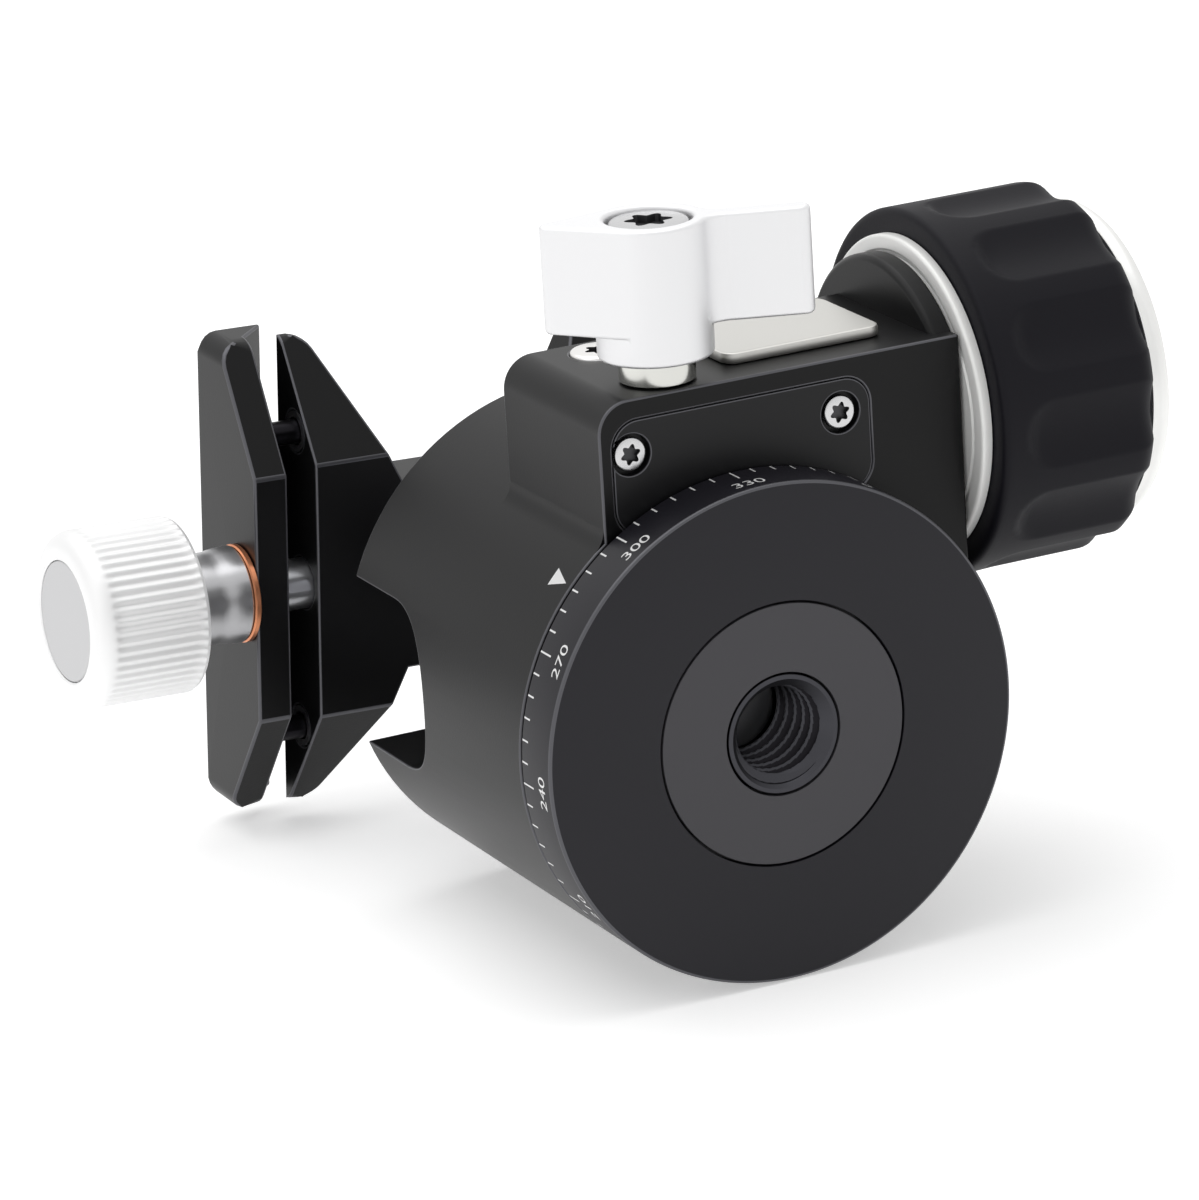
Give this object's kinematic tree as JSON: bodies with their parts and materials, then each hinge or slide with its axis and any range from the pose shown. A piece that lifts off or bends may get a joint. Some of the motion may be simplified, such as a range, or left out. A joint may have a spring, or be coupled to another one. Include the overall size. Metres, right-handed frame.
{
  "type": "tripod ball head",
  "caption": "Ball head for a tripod: black barrel on a rotating graduated base, large rubber-grip lock knob, wing pan lock, silver ball with stem and a screw clamp for dovetail plates.",
  "frame": {"origin": "centre of the underside of the base, where it sits on a tripod's plate", "axes": "+Z along the pan axis from the base towards the clamp; the large lock knob points to +X, the drop notch to -X, and the lock block with the wing lever is on the -Y side"},
  "size_m": [0.0878, 0.0705, 0.0738],
  "materials": {
    "black_anodised": "satin black anodised aluminium, fine blasted",
    "grey_pad": "matt dark grey pad",
    "dark_steel": "blackened steel",
    "bright_aluminium": "turned and satin silver aluminium",
    "steel": "plain turned steel",
    "spring_steel": "drawn spring steel",
    "bronze": "plain turned brass",
    "copper": "plain copper washer",
    "acetal": "cream low-friction plastic",
    "rubber": "moulded matt rubber",
    "satin_ball": "hard anodised satin grey ball and stem",
    "bare_label": "plain pale plate"
  },
  "bodies": {
    "base": {"base_plate": "black_anodised", "base_pad": "grey_pad", "thread_bush": "dark_steel", "pan_hub": "steel", "hub_screws": "steel", "pan_washer": "acetal", "pan_retainer": "bronze"},
    "housing": {"housing": "black_anodised", "pan_sleeve": "steel", "cover_plate": "black_anodised", "cover_screws": "bright_aluminium", "label_plate": "bare_label", "top_plug": "bright_aluminium", "seat_ring": "steel", "seat_spring": "spring_steel", "ball_seat": "acetal"},
    "lock_knob": {"lock_screw": "steel", "knob_core": "bright_aluminium", "knob_grip": "rubber", "knob_cap": "bright_aluminium", "knob_bolt": "steel"},
    "cone": {"cone_nut": "bronze"},
    "shoe": {"ball_shoe": "bronze"},
    "wing": {"pan_stud": "steel", "wing_collar": "bright_aluminium", "wing_lever": "bright_aluminium", "wing_screw": "bright_aluminium"},
    "pan_shoe": {"pan_shoe": "bronze"},
    "ball": {"ball": "satin_ball"},
    "stem": {"ball_stem": "satin_ball"},
    "clamp": {"clamp_body": "black_anodised", "stem_bolt": "dark_steel", "jaw_springs": "spring_steel"},
    "jaw": {"moving_jaw": "black_anodised", "clamp_washer": "copper", "guide_pins": "steel"},
    "clamp_knob": {"clamp_knob": "bright_aluminium", "knob_disc": "bright_aluminium", "clamp_screw": "steel"}
  },
  "joints": [
    {"name": "pan", "type": "hinge", "parent": "base", "child": "housing", "pos_m": [0, 0, 0], "axis": [0, 0, 1], "continuous": true},
    {"name": "lock_turn", "type": "hinge", "parent": "housing", "child": "lock_knob", "pos_m": [0.0242, -0.0233, 0.018], "axis": [-1, 0, 0], "range_deg": [-540, 60]},
    {"name": "cone_draw", "type": "slide", "parent": "housing", "child": "cone", "axis": [1, 0, 0], "range_m": [-0.00124, 0.00014]},
    {"name": "shoe_press", "type": "slide", "parent": "housing", "child": "shoe", "axis": [0, 0.8161, 0.5779], "range_m": [-0.0001854, 0.000021]},
    {"name": "pan_lock_turn", "type": "hinge", "parent": "housing", "child": "wing", "pos_m": [-0.0054, -0.0335, 0.0103], "axis": [0, 1, 0], "range_deg": [-90, 45]},
    {"name": "pan_shoe_press", "type": "slide", "parent": "housing", "child": "pan_shoe", "axis": [0, 1, 0], "range_m": [-0.000181, 0.0000925]},
    {"name": "ball_side", "type": "hinge", "parent": "housing", "child": "ball", "pos_m": [0, 0, 0.0345], "axis": [1, 0, 0], "range_deg": [-23.8, 20.2]},
    {"name": "ball_lean", "type": "hinge", "parent": "ball", "child": "stem", "pos_m": [0, 0, 0.0345], "axis": [0, 0.9995, 0.0314], "range_deg": [-82.6, 22.9]},
    {"name": "clamp_spin", "type": "hinge", "parent": "stem", "child": "clamp", "pos_m": [0, 0, 0.0345], "axis": [-0.0157, -0.0314, 0.9994], "continuous": true},
    {"name": "jaw_slide", "type": "slide", "parent": "clamp", "child": "jaw", "axis": [0.9988, 0.0448, 0.0171], "range_m": [-0.00205, 0.0022]},
    {"name": "clamp_turn", "type": "hinge", "parent": "jaw", "child": "clamp_knob", "pos_m": [-0.00045, -0.00091, 0.06338], "axis": [0.9988, 0.0448, 0.0171], "range_deg": [-900, 967.5]}
  ],
  "couplings": [
    {"joint": "cone_draw", "follows": "lock_turn", "m_per_rad": 0.00012732},
    {"joint": "shoe_press", "follows": "lock_turn", "m_per_rad": 0.000019099},
    {"joint": "pan_shoe_press", "follows": "pan_lock_turn", "m_per_rad": 0.00011141},
    {"joint": "jaw_slide", "follows": "clamp_turn", "m_per_rad": 0.00012732}
  ]
}
